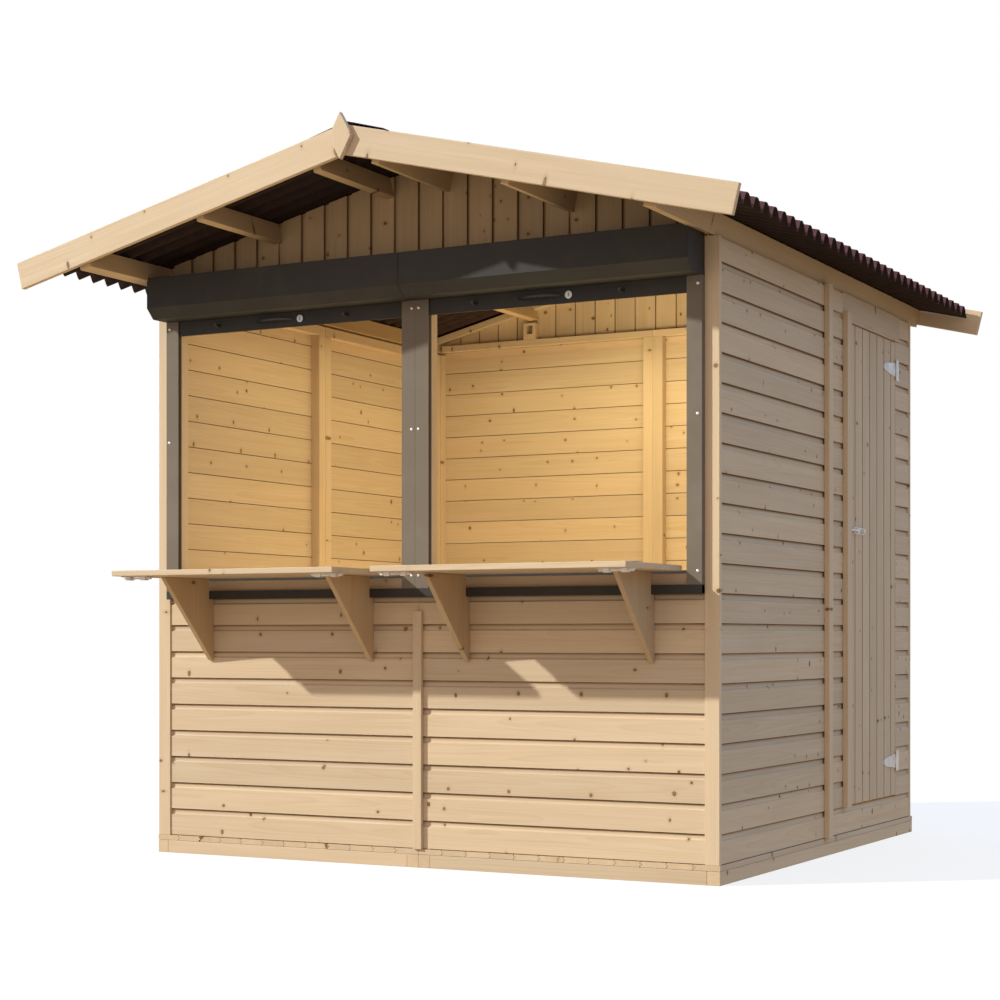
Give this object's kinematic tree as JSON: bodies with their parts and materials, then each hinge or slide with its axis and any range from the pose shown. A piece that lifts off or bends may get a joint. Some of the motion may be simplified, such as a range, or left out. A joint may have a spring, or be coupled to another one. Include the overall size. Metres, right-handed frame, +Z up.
{
  "type": "market hut",
  "caption": "Small timber market hut with boarded walls, a corrugated gable roof, serving hatches with rolled-up shutters, folding counters and a side door.",
  "frame": {"origin": "on the ground, under the middle of the whole outline seen from above", "axes": "+X to the right seen from the front, +Y from the hatches to the rear wall, +Z up"},
  "size_m": [2.726, 2.726, 2.4779],
  "materials": {
    "timber": "bare planed spruce",
    "roofing": "matt dark red bitumen sheet",
    "shutter_metal": "anthracite powder coat",
    "bright_metal": "plain",
    "ironwork": "galvanised"
  },
  "bodies": {
    "hut": {"corner_trims": "timber", "counter_brackets": "timber", "counter_hinge_plates": "ironwork", "door_batten": "timber", "door_header": "timber", "door_hinge_plates": "ironwork", "eave_purlins": "timber", "finials": "timber", "floor_boards": "timber", "floor_rails": "timber", "front_barge_boards": "timber", "front_gable": "timber", "front_wall": "timber", "front_wall_frame": "timber", "gable_frames": "timber", "hatch_frame": "timber", "hatch_sill": "shutter_metal", "joint_trims": "timber", "left_wall": "timber", "left_wall_frame": "timber", "middle_purlins": "timber", "rear_barge_boards": "timber", "rear_gable": "timber", "rear_wall": "timber", "rear_wall_frame": "timber", "ridge_cap": "roofing", "ridge_purlins": "timber", "right_wall_frame": "timber", "right_wall_front": "timber", "right_wall_rear": "timber", "roof_sheet_left": "roofing", "roof_sheet_right": "roofing", "shutter_bars": "shutter_metal", "shutter_boxes": "shutter_metal", "shutter_end_caps": "shutter_metal", "shutter_guides": "shutter_metal", "shutter_locks": "bright_metal", "shutter_pulls": "shutter_metal"},
    "counter_left_flap": {"counter_left": "timber", "counter_ironwork_left": "ironwork"},
    "counter_right_flap": {"counter_right": "timber", "counter_ironwork_right": "ironwork"},
    "door": {"door_leaf": "timber", "door_ledges": "timber", "door_hinge_straps": "ironwork", "door_latch": "ironwork"}
  },
  "joints": [
    {"name": "door_hinge", "type": "hinge", "parent": "hut", "child": "door", "pos_m": [1.1113, 0.9885, 1], "axis": [0, 0, 1], "range_deg": [0, 170]},
    {"name": "counter_left_hinge", "type": "hinge", "parent": "hut", "child": "counter_left_flap", "pos_m": [-0.5255, -0.864, 0.9985], "axis": [-1, 0, 0], "range_deg": [0, 90]},
    {"name": "counter_right_hinge", "type": "hinge", "parent": "hut", "child": "counter_right_flap", "pos_m": [0.5255, -0.864, 0.9985], "axis": [-1, 0, 0], "range_deg": [0, 90]}
  ]
}
